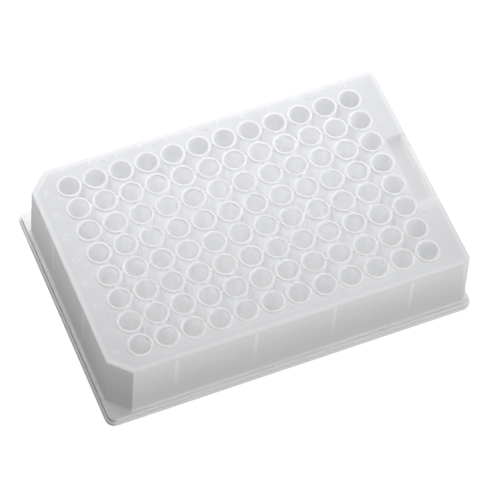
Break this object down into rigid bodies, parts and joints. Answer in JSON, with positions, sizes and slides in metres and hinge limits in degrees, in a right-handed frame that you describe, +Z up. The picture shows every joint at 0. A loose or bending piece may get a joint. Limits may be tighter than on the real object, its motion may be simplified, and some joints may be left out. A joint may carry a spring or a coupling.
{
  "type": "well plate",
  "caption": "Rectangular laboratory plate with a grid of round, cone-ended wells, a stepped foot flange and cut corners, moulded in one piece.",
  "frame": {"origin": "middle of the footprint, on the surface that the plate stands on", "axes": "+Z up, out of the wells' mouths; +X along the rows, from column 1 to column 12; +Y along the columns, towards row A"},
  "size_m": [0.1278, 0.0854, 0.0263],
  "materials": {
    "natural_polypropylene": "milky, faintly translucent moulded polypropylene with a satin surface"
  },
  "bodies": {
    "root": {"well_plate": "natural_polypropylene"}
  },
  "joints": []
}
